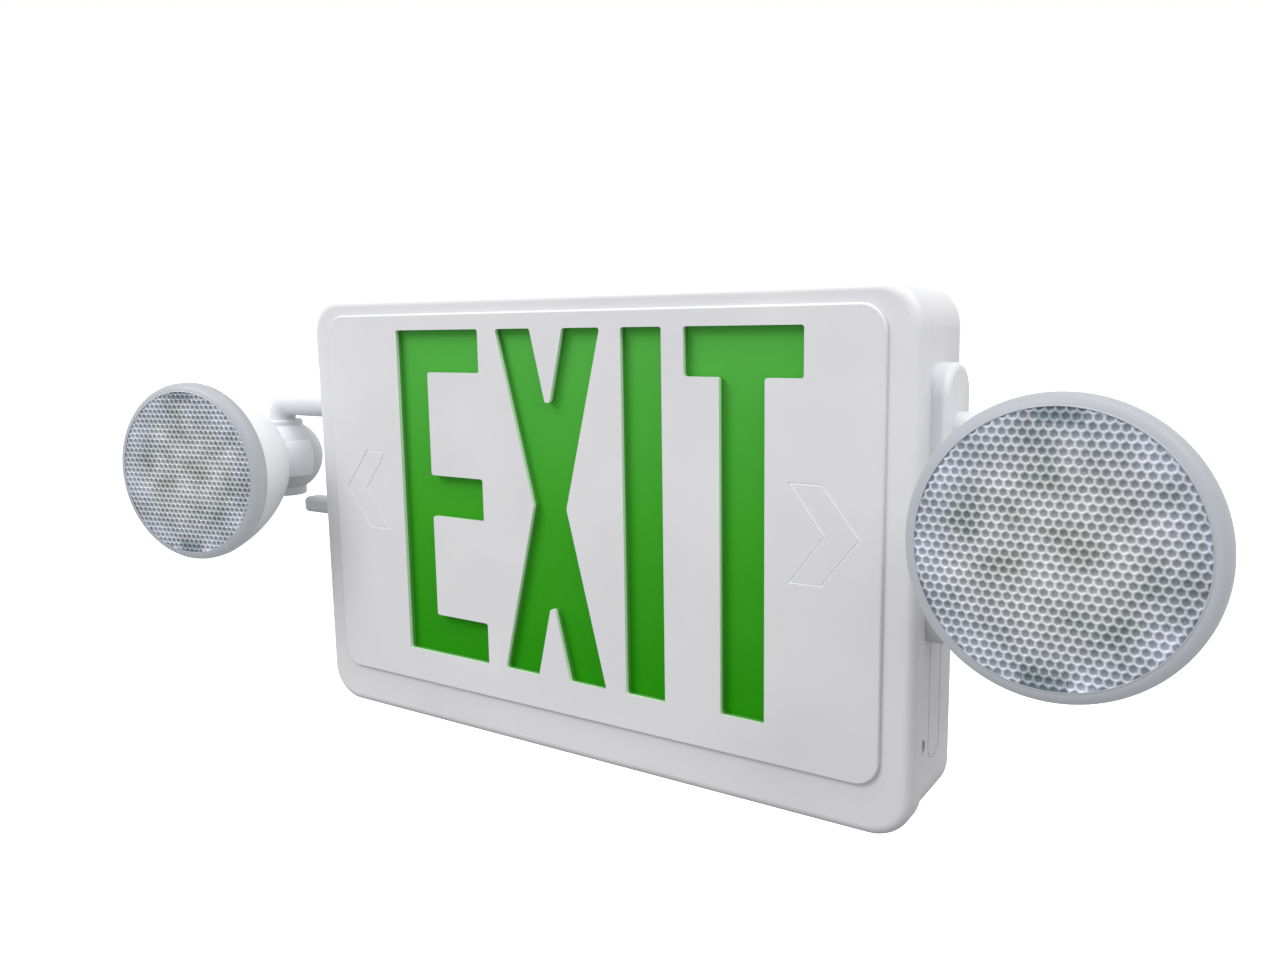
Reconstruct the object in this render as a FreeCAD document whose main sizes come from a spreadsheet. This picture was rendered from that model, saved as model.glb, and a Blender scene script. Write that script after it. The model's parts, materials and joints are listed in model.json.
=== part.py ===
import FreeCAD, Part
import math
import os
import re
import Sketcher

# Wall-mounted emergency exit light, in millimetres.
# Frame: +X to the right seen from the front, the front faces -Y, +Z up.
# The origin is the centre of the flat back, so the wall is the plane y = 0
# and "out" below means the distance in front of the wall, along -Y.

Vector = FreeCAD.Vector
doc = FreeCAD.newDocument("exit_light")
sheet = doc.addObject("Spreadsheet::Sheet", "Sizes")

SIZES = {
    # front cover and its raised panel
    "cover_width": 308, "cover_height": 203, "cover_corner": 17, "cover_wall": 2.5, "cover_face": 2.2,
    "cover_edge": 4, "panel_round": 0.9, "cover_out": 46.5, "seam_out": 36.7,
    "panel_width": 283.6, "panel_height": 175.5, "panel_corner": 10, "panel_rise": 1.5, "panel_up": 5.7,
    # the word: cap height, stroke, letter widths and gap, and its place on the cover
    "letter_height": 152.4, "stroke": 19.2, "wide_letter": 50.4, "cross_letter": 55.8,
    "letter_gap": 10.1, "word_right": 8.2, "word_up": 9.9, "letter_round": 1.2,
    "cross_waist": 17.8, "notch_level": 45, "notch_width": 2.6,
    # chevron knock-outs
    "chevron_reach": 28.4, "chevron_half": 19, "chevron_notch": 14.2, "chevron_stroke": 13.5,
    "chevron_tip": 133.6, "groove_width": 0.7, "groove_depth": 0.4,
    # rear housing
    "housing_inset": 1.2, "housing_corner": 15.8, "housing_wall": 3, "housing_floor": 2.5,
    "lip_height": 4, "lip_gap": 0.3, "back_round": 1.5, "seat_play": 0.05,
    "cable_hole": 22, "bolt_spacing": 88.9, "bolt_hole": 4.5, "keyhole_head": 9, "keyhole_slot": 8,
    "keyhole_spacing": 200, "keyhole_up": 58,
    "post_radius": 4, "knockout_width": 13, "knockout_length": 96, "knockout_bottom": -77,
    "knockout_out": 20, "side_hole": 5.8, "side_hole_out": 32.5, "side_hole_up": -69,
    # green panel and the sign's light strips
    "colour_thick": 1.5, "colour_width": 232, "colour_height": 168, "colour_gap": 0.1,
    "stake_radius": 1.5, "stake_length": 3, "stake_inset": 5, "stake_gap": 0.05,
    "snap_width": 12, "snap_thick": 1.6, "snap_reach": 5, "snap_spacing": 180, "snap_gap": 0.3,
    "strip_length": 220, "strip_width": 9, "strip_thick": 1.6, "strip_up": 82,
    "strip_leds": 10, "sign_led": 3.5, "sign_led_thick": 1.4,
    # charger board, its parts, and the battery
    "board_width": 76, "board_height": 62, "board_thick": 1.6, "board_right": 88, "board_up": 8,
    "board_stand": 6, "core_width": 32, "core_height": 30, "core_depth": 20,
    "coil_width": 22, "coil_depth": 23, "coil_over": 3, "can_radius": 5, "can_height": 14,
    "relay_width": 15, "relay_height": 19, "relay_depth": 14,
    "terminal_width": 22, "terminal_height": 10, "terminal_depth": 11,
    "cell_radius": 7.2, "cell_length": 50, "cell_count": 3, "battery_left": -78, "battery_up": 10,
    "strap_width": 12, "strap_thick": 1.2, "strap_foot": 7, "strap_gap": 0.3, "cell_merge": 0.4,
    # test button, its switch and the pilot lamp
    "button_radius": 2.6, "button_recess": 1.2, "button_round": 0.5, "button_travel": 1.6,
    "button_collar": 4, "collar_thick": 1.2, "button_play": 0.3, "stem_radius": 1.5, "stem_length": 3,
    "switch_side": 9, "switch_depth": 6, "switch_in": 9.5, "plunger_radius": 1.3, "plunger_deep": 2,
    "plunger_play": 0.05, "pilot_radius": 2.5, "pilot_out": 28, "pilot_right": 100, "pilot_proud": 2,
    "pilot_round": 1.2, "pilot_flange": 3.6, "pilot_body": 4,
    # side brackets
    "bracket_thick": 7.4, "bracket_width": 26.3, "bracket_length": 102.2, "bracket_out": 23.5,
    "bracket_up": 21, "bracket_corner": 12, "bracket_edge": 2.5,
    "mount_radius": 2, "mount_head": 3.6, "mount_head_thick": 2.2, "mount_deep": 5, "mount_spread": 41,
    "finger_reach": 32, "finger_height": 8.3, "finger_width": 11, "finger_up": -6.6, "finger_round": 2.5,
    # arms
    "arm_radius": 6.9, "arm_bore": 4.6, "arm_up": 47.9, "arm_bend": 9, "swivel_right": 212,
    "nut_corner": 11, "arm_nut_thick": 5, "arm_tail": 9, "arm_end": 10.5,
    "clip_low": 11.8, "clip_thick": 0.9, "clip_radius": 9, "clip_inner": 6.2, "clip_mouth": 60,
    # knuckle balls, bosses and clearances
    "ball_radius": 20, "ball_wall": 3, "ball_up": 18.4, "boss_top": 20.2, "boss_radius": 10.4,
    "boss_bottom": 21.5, "boss_round": 1.2, "swivel_gap": 0.08, "sleeve_end": 13, "sleeve_radius": 10,
    "plug_radius": 7.5, "plug_thick": 3, "plug_rim": 0.8, "slot_half": 2.5, "slot_reach": 11.2,
    "ball_gap": 0.3,
    # lamp heads, measured along the lamp's own axis from the centre of the ball
    "cup_wall": 2.2, "cup_band": 25, "cup_cover": 3.4, "neck_radius": 14, "neck_start": 20,
    "boss_clear": 0.5, "back_out": 26, "back_radius": 22, "hip_out": 30, "hip_radius": 28.2, "bowl_curve": 87,
    "bridge_inset": 1, "bridge_reach": 4,
    "rim_out": 65, "rim_radius": 43.9, "bowl_wall": 2, "bowl_round": 5,
    "face_rise": 7, "face_round": 4.5, "lens_wall": 1.8,
    "spigot_deep": 3, "spigot_wall": 1.2, "spigot_gap": 0.3,
    "lamp_board_thick": 1.6, "lamp_board_out": 54, "board_gap": 0.3, "reflector_notch": 13, "notch_deep": 3,
    "reflector_gap": 0.3, "reflector_deep": 10, "cup_ring": 24.8, "cup_top": 12, "cup_foot": 4.6,
    "lamp_led": 5, "lamp_led_thick": 1.5, "ring_count": 6,
    "screw_radius": 2, "screw_head": 4, "screw_head_thick": 2.4, "screw_slot": 1, "screw_end": 9.5,
    "washer_half": 20, "washer_seat": 13.7, "hex_corner": 4, "hex_thick": 3.2,
    # where the lamps point at rest: turned inwards, and tipped up
    "left_turn": 12, "right_turn": 3.5, "left_tip": 0, "right_tip": 4,
}

for row, (alias, number) in enumerate(SIZES.items(), start=1):
    sheet.set("A%d" % row, alias)
    sheet.set("B%d" % row, str(number))
    sheet.setAlias("B%d" % row, alias)
doc.recompute()


def formula(text):
    """Point each size's name in an expression at its cell in the sheet."""
    return re.sub(r"[a-z]+(?:_[a-z]+)+|stroke", lambda word: "Sizes." + word.group(0)
                  if word.group(0) in SIZES else word.group(0), str(text))


def number(text):
    """Work out an expression of named sizes as a plain number."""
    return float(sheet.evalExpression(formula(text)))


def bind(thing, name, text):
    thing.setExpression(name, formula(text))


# ---------------------------------------------------------------- sketches and features

def new_body(label):
    body = doc.addObject("PartDesign::Body", label)
    body.Label = label
    return body


def plane(body, role):
    return [item for item in body.Origin.OriginFeatures if item.Role == role][0]


def new_sketch(body, name, role="XZ_Plane", offset="0"):
    sketch = body.newObject("Sketcher::SketchObject", name)
    sketch.AttachmentSupport = [(plane(body, role), "")]
    sketch.MapMode = "FlatFace"
    bind(sketch, "AttachmentOffset.Base.z", offset)
    return sketch


def fix(sketch, kind, geometry, point, text):
    """Hold one point of the sketch at a distance from its origin."""
    value = number(text)
    index = sketch.addConstraint(Sketcher.Constraint(kind, -1, 1, geometry, point, value))
    sketch.setExpression("Constraints[%d]" % index, formula(text))


def polygon(sketch, corners):
    """A closed outline of straight lines through corners given as pairs of expressions."""
    first = sketch.GeometryCount
    points = [Vector(number(x), number(y), 0) for x, y in corners]
    count = len(points)
    for index in range(count):
        sketch.addGeometry(Part.LineSegment(points[index], points[(index + 1) % count]), False)
    for index in range(count):
        following = first + (index + 1) % count
        sketch.addConstraint(Sketcher.Constraint("Coincident", first + index, 2, following, 1))
    for index, (x, y) in enumerate(corners):
        fix(sketch, "DistanceX", first + index, 1, x)
        fix(sketch, "DistanceY", first + index, 1, y)
    return first


def circle(sketch, radius, x="0", y="0"):
    value = number(radius)
    made = sketch.addGeometry(Part.Circle(Vector(number(x), number(y), 0), Vector(0, 0, 1), value), False)
    index = sketch.addConstraint(Sketcher.Constraint("Radius", made, value))
    sketch.setExpression("Constraints[%d]" % index, formula(radius))
    fix(sketch, "DistanceX", made, 3, x)
    fix(sketch, "DistanceY", made, 3, y)


def rounded_rectangle(sketch, width, height, radius, x="0", y="0"):
    """A rectangle with equal round corners, centred at x and y."""
    half_w, half_h, r = number(width) / 2, number(height) / 2, number(radius)
    cx, cy = number(x), number(y)
    first = sketch.GeometryCount
    corners = [(1, 1, 0), (-1, 1, 90), (-1, -1, 180), (1, -1, 270)]
    for sx, sy, start in corners:
        centre = Vector(cx + sx * (half_w - r), cy + sy * (half_h - r), 0)
        ring = Part.Circle(centre, Vector(0, 0, 1), r)
        sketch.addGeometry(Part.ArcOfCircle(ring, math.radians(start), math.radians(start + 90)), False)
    for index in range(4):
        following = (index + 1) % 4
        start = sketch.getPoint(first + index, 2)
        end = sketch.getPoint(first + following, 1)
        line = sketch.addGeometry(Part.LineSegment(start, end), False)
        sketch.addConstraint(Sketcher.Constraint("Tangent", first + index, 2, line, 1))
        sketch.addConstraint(Sketcher.Constraint("Tangent", line, 2, first + following, 1))
        direction = "Horizontal" if index % 2 == 0 else "Vertical"
        sketch.addConstraint(Sketcher.Constraint(direction, line))
    for index in range(1, 4):
        sketch.addConstraint(Sketcher.Constraint("Equal", first, first + index))
    held = sketch.addConstraint(Sketcher.Constraint("Radius", first, r))
    sketch.setExpression("Constraints[%d]" % held, formula(radius))
    fix(sketch, "DistanceX", first, 3, "%s + (%s) / 2 - (%s)" % (x, width, radius))
    fix(sketch, "DistanceX", first + 1, 3, "%s - (%s) / 2 + (%s)" % (x, width, radius))
    fix(sketch, "DistanceY", first, 3, "%s + (%s) / 2 - (%s)" % (y, height, radius))
    fix(sketch, "DistanceY", first + 2, 3, "%s - (%s) / 2 + (%s)" % (y, height, radius))


def pad(body, sketch, length, backwards=False):
    made = body.newObject("PartDesign::Pad", sketch.Name + "_pad")
    made.Profile = sketch
    bind(made, "Length", length)
    made.Reversed = backwards
    return made


def pocket(body, sketch, length, backwards=False):
    made = body.newObject("PartDesign::Pocket", sketch.Name + "_pocket")
    made.Profile = sketch
    bind(made, "Length", length)
    made.Reversed = backwards
    return made


def revolve(body, sketch, cut=False):
    kind = "PartDesign::Groove" if cut else "PartDesign::Revolution"
    made = body.newObject(kind, sketch.Name + "_turn")
    made.Profile = sketch
    made.ReferenceAxis = (sketch, ["V_Axis"])
    made.Angle = 360
    return made


def primitive(body, kind, name, sizes, x="0", y="0", z="0", turn=None):
    """A block, cylinder or sphere added to or cut from the body, placed by expressions."""
    made = body.newObject("PartDesign::" + kind, name)
    for key, text in sizes.items():
        bind(made, key, text)
    if turn is not None:
        made.Placement = FreeCAD.Placement(Vector(0, 0, 0), turn)
    for axis, text in zip("xyz", (x, y, z)):
        bind(made, "Placement.Base." + axis, text)
    return made


def block(body, kind, name, wide, deep, high, x="0", y="0", z="0"):
    """A box centred at x, y and z."""
    sizes = {"Length": wide, "Width": deep, "Height": high}
    return primitive(body, kind, name, sizes, "%s - (%s) / 2" % (x, wide),
                     "%s - (%s) / 2" % (y, deep), "%s - (%s) / 2" % (z, high))


ALONG_X = FreeCAD.Rotation(Vector(0, 1, 0), 90)
ALONG_OUT = FreeCAD.Rotation(Vector(1, 0, 0), 90)


def round_edges(body, name, radius, choose):
    """Round every edge of the body that choose() picks."""
    doc.recompute()
    base = body.Tip
    names = ["Edge%d" % (index + 1) for index, edge in enumerate(base.Shape.Edges) if choose(edge)]
    if not names:
        raise RuntimeError("no edge found for " + name)
    made = body.newObject("PartDesign::Fillet", name)
    made.Base = (base, names)
    bind(made, "Radius", radius)
    return made


# ---------------------------------------------------------------- letters and chevrons

def letter_e(sketch, left):
    arm, half = "stroke", "letter_height / 2"
    right = "%s + wide_letter" % left
    stem = "%s + stroke" % left
    low, high = "word_up - " + half, "word_up + " + half
    polygon(sketch, [
        (left, low), (right, low), (right, "%s + %s" % (low, arm)), (stem, "%s + %s" % (low, arm)),
        (stem, "word_up - %s / 2" % arm), (right, "word_up - %s / 2" % arm),
        (right, "word_up + %s / 2" % arm), (stem, "word_up + %s / 2" % arm),
        (stem, "%s - %s" % (high, arm)), (right, "%s - %s" % (high, arm)), (right, high), (left, high)])


def letter_x(sketch, left):
    low, high = "word_up - letter_height / 2", "word_up + letter_height / 2"
    middle = "%s + cross_letter / 2" % left
    right = "%s + cross_letter" % left
    polygon(sketch, [
        (left, low), ("%s + stroke" % left, low),
        ("%s - notch_width / 2" % middle, "word_up - notch_level"),
        ("%s + notch_width / 2" % middle, "word_up - notch_level"),
        ("%s - stroke" % right, low), (right, low), ("%s + cross_waist / 2" % middle, "word_up"),
        (right, high), ("%s - stroke" % right, high),
        ("%s + notch_width / 2" % middle, "word_up + notch_level"),
        ("%s - notch_width / 2" % middle, "word_up + notch_level"),
        ("%s + stroke" % left, high), (left, high), ("%s - cross_waist / 2" % middle, "word_up")])


def letter_i(sketch, left):
    low, high = "word_up - letter_height / 2", "word_up + letter_height / 2"
    right = "%s + stroke" % left
    polygon(sketch, [(left, low), (right, low), (right, high), (left, high)])


def letter_t(sketch, left):
    low, high = "word_up - letter_height / 2", "word_up + letter_height / 2"
    right = "%s + wide_letter" % left
    stem_left = "%s + wide_letter / 2 - stroke / 2" % left
    stem_right = "%s + wide_letter / 2 + stroke / 2" % left
    bar = "%s - stroke" % high
    polygon(sketch, [(stem_left, low), (stem_right, low), (stem_right, bar), (right, bar),
                     (right, high), (left, high), (left, bar), (stem_left, bar)])


WORD_WIDTH = "(2 * wide_letter + cross_letter + stroke + 3 * letter_gap)"


def word(sketch):
    """The four letters side by side, centred at word_right."""
    left = "word_right - %s / 2" % WORD_WIDTH
    letter_e(sketch, left)
    left += " + wide_letter + letter_gap"
    letter_x(sketch, left)
    left += " + cross_letter + letter_gap"
    letter_i(sketch, left)
    left += " + stroke + letter_gap"
    letter_t(sketch, left)


def chevron(sketch, side, inset):
    """A chevron with its tip away from the middle, its outline drawn in by inset."""
    back_lean = "(chevron_notch / chevron_half)"
    front_lean = "((chevron_reach - chevron_stroke) / chevron_half)"
    back_shift = "%s * sqrt(1 + %s ^ 2)" % (inset, back_lean)
    front_shift = "%s * sqrt(1 + %s ^ 2)" % (inset, front_lean)
    base = "(chevron_tip - chevron_reach)"
    high = "(chevron_half - %s)" % inset
    back = "%s + %s * %s + %s" % (base, inset, back_lean, back_shift)
    front = "chevron_tip - %s * %s - %s" % (high, front_lean, front_shift)
    tip = "chevron_tip - %s" % front_shift
    notch = "%s + chevron_notch + %s" % (base, back_shift)
    outline = [(back, "-1"), (front, "-1"), (tip, "0"), (front, "1"), (back, "1"), (notch, "0")]
    polygon(sketch, [("%d * (%s)" % (side, x), "word_up + %s * %s" % (level, high))
                     for x, level in outline])


# ---------------------------------------------------------------- front cover

def along_out(edge):
    """True for an edge that runs straight out from the wall."""
    if not isinstance(edge.Curve, Part.Line):
        return False
    return abs(abs(edge.Curve.Direction.y) - 1) < 1e-6


def at_out(edge, out):
    box = edge.BoundBox
    return abs(box.YMin + out) < 1e-4 and abs(box.YMax + out) < 1e-4


def front_cover():
    body = new_body("front_cover")
    shell = new_sketch(body, "cover_shell", offset="seam_out")
    rounded_rectangle(shell, "cover_width", "cover_height", "cover_corner")
    pad(body, shell, "cover_out - seam_out")
    round_edges(body, "cover_front_edge", "cover_edge", lambda edge: at_out(edge, number("cover_out")))
    panel = new_sketch(body, "cover_panel", offset="cover_out")
    rounded_rectangle(panel, "panel_width", "panel_height", "panel_corner", "0", "panel_up")
    pad(body, panel, "panel_rise")
    front = "cover_out + panel_rise"
    round_edges(body, "panel_edge", "panel_round", lambda edge: at_out(edge, number(front)))
    inside = new_sketch(body, "cover_inside", offset="seam_out")
    rounded_rectangle(inside, "cover_width - 2 * cover_wall", "cover_height - 2 * cover_wall",
                      "cover_corner - cover_wall")
    pocket(body, inside, "cover_out - cover_face - seam_out", backwards=True)
    letters = new_sketch(body, "cover_letters", offset=front)
    word(letters)
    pocket(body, letters, "panel_rise + cover_face")
    low = number("cover_out - cover_face")
    half = number(WORD_WIDTH + " / 2 + letter_gap")
    middle = number("word_right")

    def letter_corner(edge):
        return (along_out(edge) and abs(edge.BoundBox.YMax + low) < 1e-4
                and abs(edge.BoundBox.Center.x - middle) < half)
    round_edges(body, "letter_corners", "letter_round", letter_corner)
    for side, name in ((1, "right"), (-1, "left")):
        groove = new_sketch(body, "chevron_" + name, offset=front)
        chevron(groove, side, "0")
        chevron(groove, side, "groove_width")
        pocket(body, groove, "groove_depth")
    # four stakes on the back of the face hold the green panel
    for across in (-1, 1):
        for level in (-1, 1):
            primitive(body, "AdditiveCylinder", "stake_%s%s" % ("lr"[across > 0], "bt"[level > 0]),
                      {"Radius": "stake_radius", "Height": "stake_length + cover_face / 2"},
                      "word_right + %d * (colour_width / 2 - stake_inset)" % across,
                      "-(cover_out - cover_face - stake_length)",
                      "word_up + %d * (colour_height / 2 - stake_inset)" % level, ALONG_OUT)
    # snap tabs reach back inside the lip of the housing
    for level, name in ((1, "top"), (-1, "bottom")):
        for across in (-1, 1):
            height = ("%d * (cover_height / 2 - housing_inset - housing_wall - snap_gap"
                      " - snap_thick / 2)" % level)
            block(body, "AdditiveBox", "snap_%s_%s" % (name, "lr"[across > 0]), "snap_width",
                  "snap_reach + cover_out - cover_face / 2 - seam_out", "snap_thick",
                  "%d * snap_spacing / 2" % across,
                  "-(seam_out - snap_reach + cover_out - cover_face / 2) / 2", height)
    return body


def green_panel():
    body = new_body("green_panel")
    sheet_sketch = new_sketch(body, "colour_sheet", offset="cover_out - cover_face - colour_gap")
    rounded_rectangle(sheet_sketch, "colour_width", "colour_height", "stake_inset / 2",
                      "word_right", "word_up")
    for across in (-1, 1):
        for level in (-1, 1):
            circle(sheet_sketch, "stake_radius + stake_gap",
                   "word_right + %d * (colour_width / 2 - stake_inset)" % across,
                   "word_up + %d * (colour_height / 2 - stake_inset)" % level)
    pad(body, sheet_sketch, "colour_thick", backwards=True)
    return body


# ---------------------------------------------------------------- rear housing

HOUSING_HALF = "(cover_width / 2 - housing_inset)"


def stadium(sketch, width, low, high, x):
    """An upright slot outline: straight sides and round ends."""
    rounded_rectangle(sketch, width, "%s - (%s)" % (high, low), "(%s) / 2 - 0.001" % width, x,
                      "(%s + %s) / 2" % (low, high))


def rear_housing():
    body = new_body("rear_housing")
    tray = new_sketch(body, "housing_tray")
    rounded_rectangle(tray, "cover_width - 2 * housing_inset", "cover_height - 2 * housing_inset",
                      "housing_corner")
    pad(body, tray, "seam_out")
    round_edges(body, "housing_back_edge", "back_round", lambda edge: at_out(edge, 0))
    lip = new_sketch(body, "housing_lip", offset="seam_out")
    rounded_rectangle(lip, "cover_width - 2 * cover_wall - 2 * lip_gap",
                      "cover_height - 2 * cover_wall - 2 * lip_gap", "cover_corner - cover_wall - lip_gap")
    pad(body, lip, "lip_height")
    hollow = new_sketch(body, "housing_hollow", offset="seam_out + lip_height")
    rounded_rectangle(hollow, "cover_width - 2 * housing_inset - 2 * housing_wall",
                      "cover_height - 2 * housing_inset - 2 * housing_wall",
                      "housing_corner - housing_wall")
    pocket(body, hollow, "seam_out + lip_height - housing_floor")
    # cable entry, two round bolt holes on a wall box's line, and two keyhole slots
    back = new_sketch(body, "housing_holes", offset="housing_floor")
    circle(back, "cable_hole / 2")
    for across in (-1, 1):
        circle(back, "bolt_hole / 2", "%d * bolt_spacing / 2" % across)
        circle(back, "keyhole_head / 2", "%d * keyhole_spacing / 2" % across, "keyhole_up")
    pocket(body, back, "housing_floor")
    for across in (-1, 1):
        block(body, "SubtractiveBox", "keyhole_slot_%s" % "lr"[across > 0], "bolt_hole",
              "3 * housing_floor", "keyhole_slot", "%d * keyhole_spacing / 2" % across,
              "-housing_floor / 2", "keyhole_up + keyhole_slot / 2")
    # posts under the charger board
    for across in (-1, 1):
        for level in (-1, 1):
            primitive(body, "AdditiveCylinder", "post_%s%s" % ("lr"[across > 0], "bt"[level > 0]),
                      {"Radius": "post_radius", "Height": "housing_floor / 2 + board_stand"},
                      "board_right + %d * (board_width / 2 - post_radius)" % across,
                      "-housing_floor / 2",
                      "board_up + %d * (board_height / 2 - post_radius)" % level, ALONG_OUT)
    # stand for the test switch
    block(body, "AdditiveBox", "switch_stand", "switch_depth",
          "side_hole_out - switch_side / 2 - housing_floor / 2", "switch_side",
          HOUSING_HALF + " - switch_in - switch_depth / 2",
          "-(side_hole_out - switch_side / 2 + housing_floor / 2) / 2", "side_hole_up")
    # arm holes through both side walls, the button hole, and a hole for the pilot lamp
    for side, name in ((1, "right"), (-1, "left")):
        primitive(body, "SubtractiveCylinder", "arm_hole_" + name,
                  {"Radius": "arm_radius + seat_play", "Height": "2 * housing_wall"},
                  "%d * %s - housing_wall" % (side, HOUSING_HALF), "-bracket_out", "arm_up", ALONG_X)
        for level, up in mount_levels():
            primitive(body, "SubtractiveCylinder", "screw_hole_%s_%s" % (name, "bt"[level > 0]),
                      {"Radius": "mount_radius + seat_play", "Height": "2 * housing_wall"},
                      "%d * %s - housing_wall" % (side, HOUSING_HALF), "-bracket_out", up, ALONG_X)
        outline = new_sketch(body, "knockout_" + name, "YZ_Plane", "%d * %s" % (side, HOUSING_HALF))
        for shrink in ("0", "groove_width"):
            stadium(outline, "knockout_width - 2 * %s" % shrink, "knockout_bottom + " + shrink,
                    "knockout_bottom + knockout_length - " + shrink, "-knockout_out")
        pocket(body, outline, "groove_depth", backwards=(side < 0))
    primitive(body, "SubtractiveCylinder", "button_hole",
              {"Radius": "side_hole / 2", "Height": "2 * housing_wall"},
              HOUSING_HALF + " - 3 * housing_wall / 2", "-side_hole_out", "side_hole_up", ALONG_X)
    primitive(body, "SubtractiveCylinder", "pilot_hole",
              {"Radius": "pilot_radius + seat_play", "Height": "2 * housing_wall"},
              "pilot_right", "-pilot_out",
              "-(cover_height / 2 - housing_inset) - housing_wall / 2")
    return body


# ---------------------------------------------------------------- inside the housing

def light_strip(name, side):
    body = new_body("sign_strip_" + name)
    strip = new_sketch(body, "strip_" + name, offset="housing_floor")
    rounded_rectangle(strip, "strip_length", "strip_width", "strip_thick", "word_right",
                      "%d * strip_up" % side)
    pad(body, strip, "strip_thick")
    return body


def many(label):
    """A body that may hold several separate solids of one kind."""
    body = new_body(label)
    body.AllowCompound = True
    return body


def sign_leds():
    body = many("sign_leds")
    first = "word_right - strip_length / 2 + strip_length / strip_leds / 2"
    rows = []
    for side, name in ((1, "upper"), (-1, "lower")):
        rows.append(block(body, "AdditiveBox", "led_" + name, "sign_led", "sign_led_thick", "sign_led",
                          first, "-(housing_floor + strip_thick + sign_led_thick / 2)",
                          "%d * strip_up" % side))
    pattern = body.newObject("PartDesign::LinearPattern", "led_rows")
    pattern.Originals = rows
    pattern.Direction = (plane(body, "X_Axis"), [""])
    bind(pattern, "Length", "strip_length - strip_length / strip_leds")
    bind(pattern, "Occurrences", "strip_leds")
    body.Tip = pattern
    return body


BOARD_FACE = "(housing_floor + board_stand + board_thick)"


def charger_board():
    body = new_body("charger_board")
    outline = new_sketch(body, "board_outline", offset="housing_floor + board_stand")
    rounded_rectangle(outline, "board_width", "board_height", "board_thick", "board_right", "board_up")
    pad(body, outline, "board_thick")
    return body


def on_board(label, wide, deep, high, x, z):
    """A block soldered to the face of the charger board."""
    body = new_body(label)
    block(body, "AdditiveBox", label + "_block", wide, deep, high, x,
          "-(%s + (%s) / 2)" % (BOARD_FACE, deep), z)
    return body


def transformer():
    body = on_board("transformer", "core_width", "core_depth", "core_height",
                    "board_right - board_width / 4", "board_up")
    block(body, "AdditiveBox", "transformer_coil", "coil_width", "coil_depth",
          "core_height + 2 * coil_over", "board_right - board_width / 4",
          "-(%s + coil_depth / 2)" % BOARD_FACE, "board_up")
    return body


def relay():
    return on_board("relay", "relay_width", "relay_depth", "relay_height",
                    "board_right + board_width / 3", "board_up - board_height / 5")


def terminal_block():
    """Two wire clamps side by side: a block with two screw wells in its face."""
    body = on_board("terminal_block", "terminal_width", "terminal_depth", "terminal_height",
                    "board_right + board_width / 4", "board_up + board_height / 2 - terminal_height")
    for across in (-1, 1):
        primitive(body, "SubtractiveCylinder", "clamp_well_" + "lr"[across > 0],
                  {"Radius": "terminal_height / 4", "Height": "terminal_depth / 2"},
                  "board_right + board_width / 4 + %d * terminal_width / 4" % across,
                  "-(%s + terminal_depth / 2)" % BOARD_FACE,
                  "board_up + board_height / 2 - terminal_height", ALONG_OUT)
    return body


def capacitors():
    """Two upright cans on the board."""
    body = many("capacitors")
    for level in (-1, 1):
        primitive(body, "AdditiveCylinder", "can_" + "bt"[level > 0],
                  {"Radius": "can_radius", "Height": "can_height"}, "board_right + board_width / 10",
                  "-" + BOARD_FACE, "board_up - %d * can_radius * 3 / 2" % level, ALONG_OUT)
    return body


def battery_pack():
    """Cells side by side on the floor, shrink-wrapped into one block."""
    body = new_body("battery_pack")
    count = int(number("cell_count"))
    for index in range(count):
        shift = "(%d - (cell_count - 1) / 2) * (2 * cell_radius - cell_merge)" % index
        primitive(body, "AdditiveCylinder", "cell_%d" % index,
                  {"Radius": "cell_radius", "Height": "cell_length"},
                  "battery_left + " + shift, "-(housing_floor + cell_radius + strap_gap)",
                  "battery_up - cell_length / 2")
    return body


def battery_strap():
    body = new_body("battery_strap")
    pack = "(cell_count * (2 * cell_radius - cell_merge) + cell_merge + 2 * strap_gap)"
    tall = "(2 * cell_radius + 2 * strap_gap)"
    outer = new_sketch(body, "strap_outer", "XY_Plane", "battery_up - strap_width / 2")
    foot = "strap_foot"
    left = "battery_left - %s / 2" % pack
    right = "battery_left + %s / 2" % pack
    floor = "-housing_floor"
    top = "-(housing_floor + %s)" % tall
    polygon(outer, [
        ("%s - strap_thick - %s" % (left, foot), floor), (left, floor), (left, top), (right, top),
        (right, floor), ("%s + strap_thick + %s" % (right, foot), floor),
        ("%s + strap_thick + %s" % (right, foot), floor + " - strap_thick"),
        (right + " + strap_thick", floor + " - strap_thick"),
        (right + " + strap_thick", top + " - strap_thick"),
        (left + " - strap_thick", top + " - strap_thick"),
        (left + " - strap_thick", floor + " - strap_thick"),
        ("%s - strap_thick - %s" % (left, foot), floor + " - strap_thick")])
    pad(body, outer, "strap_width")
    return body


def test_button():
    """A round push button behind the side hole, with a collar inside the wall."""
    body = new_body("test_button")
    outer = HOUSING_HALF + " - button_recess"
    collar = HOUSING_HALF + " - housing_wall - button_play"
    primitive(body, "AdditiveCylinder", "button_head",
              {"Radius": "button_radius",
               "Height": "housing_wall + button_play + collar_thick - button_recess"},
              collar + " - collar_thick", "-side_hole_out", "side_hole_up", ALONG_X)
    primitive(body, "AdditiveCylinder", "button_flange",
              {"Radius": "button_collar", "Height": "collar_thick"},
              collar + " - collar_thick", "-side_hole_out", "side_hole_up", ALONG_X)
    primitive(body, "AdditiveCylinder", "button_stem",
              {"Radius": "stem_radius", "Height": "stem_length + collar_thick / 2"},
              collar + " - collar_thick - stem_length", "-side_hole_out", "side_hole_up", ALONG_X)
    face = number(outer)
    round_edges(body, "button_edge", "button_round",
                lambda edge: abs(edge.BoundBox.XMin - face) < 1e-4)
    return body


SWITCH_FACE = "(%s - switch_in)" % HOUSING_HALF


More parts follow.
